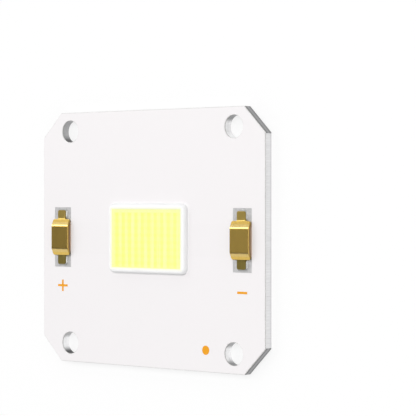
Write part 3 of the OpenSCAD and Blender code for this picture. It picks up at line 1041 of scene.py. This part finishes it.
def make_solder(side, foot, sizes, terminal, material, number):
    """Solder round one foot: a hollow fillet, height = climb * (1 - d) to the power 2.2, carried round the
    foot's outline. Its reach wanders round the foot by a few sines of its own."""
    low, high = corners_of(f"solder_{side}_{foot}")
    up = 1 if foot == "upper" else -1
    sheet_low, sheet_high = corners_of("terminal_" + side)
    x = (sheet_low[0] + sheet_high[0]) / 2
    end = sheet_high[1]
    start = min(abs(low[1]), abs(high[1]))
    corners = rectangle(terminal.foot_width / 2, (end - start) / 2, x, up * (end + start) / 2)
    path, normals = even_path(*round_path(corners, terminal.foot_round, 10, 0.00005), SOLDER_POINTS)
    turn = np.linspace(0, 2 * np.pi, len(path), endpoint=False)
    wander = 0.90 + 0.07 * np.sin(3 * turn + 1.7 * number) + 0.05 * np.sin(7 * turn + 2.9 * number)
    share_out = np.concatenate([[1], np.linspace(1, 0, 12), [-0.25]])
    wall_z = sheet_low[2] + sizes.climb * (1 - np.clip(share_out, 0, 1)) ** 2.2
    wall_z[:2] = FOIL_TOP, FOIL_TOP + 0.000004
    out = sizes.spread * share_out[:, None] * wander
    grid = raised(path[None] + out[..., None] * normals[None], wall_z)
    shell = Shell()
    shell.walls(grid)
    piece = shell.piece(f"solder_{side}_{foot}_fillet")
    hand_over(piece, material, "solder", f"solder_{side}_{foot}")


# Stage

KEY_FROM = (-0.65, 0.31, 0.69)
OVERHEAD_FROM = (0.25, 0.15, 0.95)
LAMPS_AWAY = 1.2
BRIGHT_SIDE = (-0.906, 0.423, 0.0)
FLOOR_HALF = 1.6
FLOOR_Z = -0.00002


def stage_material(look):
    """Pale floor: white to the eye and in metal, still taking part of its shading so a shadow shows.
    From below it lets the view through."""
    material = bpy.data.materials.new("pale floor")
    material.use_nodes = True
    tree = material.node_tree
    tree.nodes.remove(tree.nodes["Principled BSDF"])
    path = new_node(tree, "LightPath").outputs
    seen, mirrored, through = (Value(path[f"Is {ray} Ray"]) for ray in ("Camera", "Glossy", "Transmission"))
    behind = Value(new_node(tree, "NewGeometry").outputs["Backfacing"])
    matt = seen.step("BsdfDiffuse", {"Color": [look.floor] * 3})
    white = seen.step("Emission", {"Color": (1, 1, 1), "Strength": 1.0})
    amount = (seen * 0.72).maths("MAXIMUM", mirrored.maths("MAXIMUM", through) * 0.90)
    floor = (behind * seen).mix_shaders(amount.mix_shaders(matt, white), seen.step("BsdfTransparent"))
    put(tree.nodes["Material Output"].inputs["Surface"], floor)
    return material


def make_floor(look):
    """A plain square floor just under the board."""
    corners = np.append(rectangle(FLOOR_HALF, FLOOR_HALF), np.full((4, 1), FLOOR_Z), 1)
    mesh = bpy.data.meshes.new("floor")
    mesh.from_pydata(corners.tolist(), [], [(0, 1, 2, 3)])
    mesh.materials.append(stage_material(look))
    placed_object("floor", mesh)


def make_world(stage):
    """A plain soft room: white near the horizon, greyer overhead, white behind everything in view."""
    world = bpy.data.worlds.new("soft room")
    bpy.context.scene.world = world
    world.use_nodes = True
    tree = world.node_tree
    tree.nodes.clear()
    ahead = Value(new_node(tree, "TexCoord").outputs["Generated"])
    seen = Value(new_node(tree, "LightPath").outputs["Is Camera Ray"])
    up = ahead.parts()[2]
    facing = ahead.vector("DOT_PRODUCT", BRIGHT_SIDE, out=1)
    low = facing.ramp(-0.5, 0.2, stage.shade_side, stage.horizon)
    high = up.ramp(0.66, 0.745, stage.gap, stage.ceiling)
    light = up.step("Background", {"Color": (1, 1, 1), "Strength": up.ramp(0.56, 0.61, low, high)})
    white = up.step("Background", {"Color": (1, 1, 1), "Strength": 1.0})
    new_node(tree, "OutputWorld", {"Surface": seen.mix_shaders(light, white)})


def make_lamp(name, direction, size, power):
    """A round soft lamp that looks at the board from a direction."""
    lamp = bpy.data.lights.new(name, "AREA")
    lamp.shape = "DISK"
    lamp.size = size
    lamp.energy = power
    holder = placed_object(name, lamp)
    away = Vector(direction).normalized()
    holder.location = away * LAMPS_AWAY
    holder.rotation_euler = away.to_track_quat("Z", "Y").to_euler()
    holder.visible_camera = False


def make_camera(stage):
    """The camera, from its place, its aim and the direction that is up in the view."""
    data = bpy.data.cameras.new("camera")
    data.lens = stage.lens
    data.sensor_width = 36.0
    data.clip_start = 0.01
    data.clip_end = 10.0
    camera = placed_object("camera", data)
    place = Vector(stage.camera_place)
    ahead = (Vector(stage.camera_aim) - place).normalized()
    right = ahead.cross(Vector(stage.camera_up)).normalized()
    up = right.cross(ahead)
    camera.matrix_world = Matrix.Translation(place) @ Matrix([right, up, -ahead]).transposed().to_4x4()
    bpy.context.scene.camera = camera


# Operators


class StageOperator(bpy.types.Operator):
    """Lays the floor, lights the room and places the camera"""

    bl_idname = "led_board.stage"
    bl_label = "Stage"

    def execute(self, context):
        stage = context.scene.led_stage
        make_camera(stage)
        make_floor(context.scene.led_finishes)
        make_world(stage)
        make_lamp("key", KEY_FROM, stage.key_size, stage.key_power)
        make_lamp("overhead", OVERHEAD_FROM, stage.fill_size, stage.fill_power)
        context.scene.view_settings.view_transform = "Standard"
        return {"FINISHED"}


class PlateOperator(bpy.types.Operator):
    """Machines the aluminium plate and coats it with resin"""

    bl_idname = "led_board.plate"
    bl_label = "Plate"

    def execute(self, context):
        look = context.scene.led_finishes
        make_plate(context.scene.led_plate, look)
        refinish(resin_material(look), "dielectric_layer")
        return {"FINISHED"}


class CoatOperator(bpy.types.Operator):
    """Prints the white coat over the foil"""

    bl_idname = "led_board.coat"
    bl_label = "White coat"

    def execute(self, context):
        make_coat(context.scene.led_coat, context.scene.led_finishes)
        return {"FINISHED"}


class FoilOperator(bpy.types.Operator):
    """Tins the foil of the pads and tracks"""

    bl_idname = "led_board.foil"
    bl_label = "Foil"

    def execute(self, context):
        refinish(tin_material(context.scene.led_finishes), "track_positive", "track_negative")
        return {"FINISHED"}


class ChipOperator(bpy.types.Operator):
    """Finishes the chips and their bond wires"""

    bl_idname = "led_board.chips"
    bl_label = "Chips and wires"

    def execute(self, context):
        look = context.scene.led_finishes
        refinish(chip_material(look, context.scene.led_fill), *STRINGS)
        refinish(wire_material(look), *WIRES)
        return {"FINISHED"}


class DamOperator(bpy.types.Operator):
    """Lays the silicone dam round the light surface"""

    bl_idname = "led_board.dam"
    bl_label = "Dam"

    def execute(self, context):
        make_dam(context.scene.led_dam, context.scene.led_finishes)
        return {"FINISHED"}


class FillOperator(bpy.types.Operator):
    """Pours the phosphor gel inside the dam"""

    bl_idname = "led_board.fill"
    bl_label = "Phosphor fill"

    def execute(self, context):
        make_fill(context.scene.led_fill, context.scene.led_dam, context.scene.led_finishes)
        return {"FINISHED"}


class TerminalOperator(bpy.types.Operator):
    """Folds the two gold terminals"""

    bl_idname = "led_board.terminals"
    bl_label = "Terminals"

    def execute(self, context):
        material = gold_material(context.scene.led_finishes)
        for side in SIDES:
            make_terminal(side, context.scene.led_terminal, material)
        return {"FINISHED"}


class SolderOperator(bpy.types.Operator):
    """Runs solder round the four feet"""

    bl_idname = "led_board.solder"
    bl_label = "Solder"

    def execute(self, context):
        scene = context.scene
        material = solder_material(scene.led_finishes)
        for number, (side, foot) in enumerate((s, f) for s in SIDES for f in FEET):
            make_solder(side, foot, scene.led_solder, scene.led_terminal, material, number)
        return {"FINISHED"}


class MarkOperator(bpy.types.Operator):
    """Inks the polarity marks and the round mark"""

    bl_idname = "led_board.marks"
    bl_label = "Printed marks"

    def execute(self, context):
        refinish(ink_material(context.scene.led_finishes), "plus_mark", "minus_mark", "dot_mark")
        return {"FINISHED"}


class BoardPanel(bpy.types.Panel):
    """Lists the steps that finish the board"""

    bl_idname = "VIEW3D_PT_led_board"
    bl_label = "LED board"
    bl_space_type = "VIEW_3D"
    bl_region_type = "UI"
    bl_category = "LED board"

    def draw(self, context):
        for step in STEPS:
            self.layout.operator(step.bl_idname)
        for label, group in GROUPS.items():
            box = self.layout.box()
            box.label(text=group.__name__)
            for key in group.__annotations__:
                box.prop(getattr(context.scene, label), key)


STEPS = (
    StageOperator, PlateOperator, CoatOperator, FoilOperator, ChipOperator,
    DamOperator, FillOperator, TerminalOperator, SolderOperator, MarkOperator,
)
GROUPS = {
    "led_plate": PlateSizes, "led_coat": MaskSizes, "led_dam": DamSizes, "led_fill": FillSizes,
    "led_terminal": TerminalSizes, "led_solder": SolderSizes, "led_finishes": Finishes,
    "led_stage": StageSizes,
}


def register():
    """Registers the property groups, the steps and the panel."""
    for kind in (*GROUPS.values(), *STEPS, BoardPanel):
        bpy.utils.register_class(kind)
    for label, group in GROUPS.items():
        setattr(bpy.types.Scene, label, PointerProperty(type=group))


def unregister():
    """Takes them all out again."""
    for label in GROUPS:
        delattr(bpy.types.Scene, label)
    for kind in reversed((*GROUPS.values(), *STEPS, BoardPanel)):
        bpy.utils.unregister_class(kind)


def main():
    """Runs every step in order."""
    register()
    for step in STEPS:
        area, name = step.bl_idname.split(".")
        getattr(getattr(bpy.ops, area), name)()


if __name__ == "__main__":
    main()
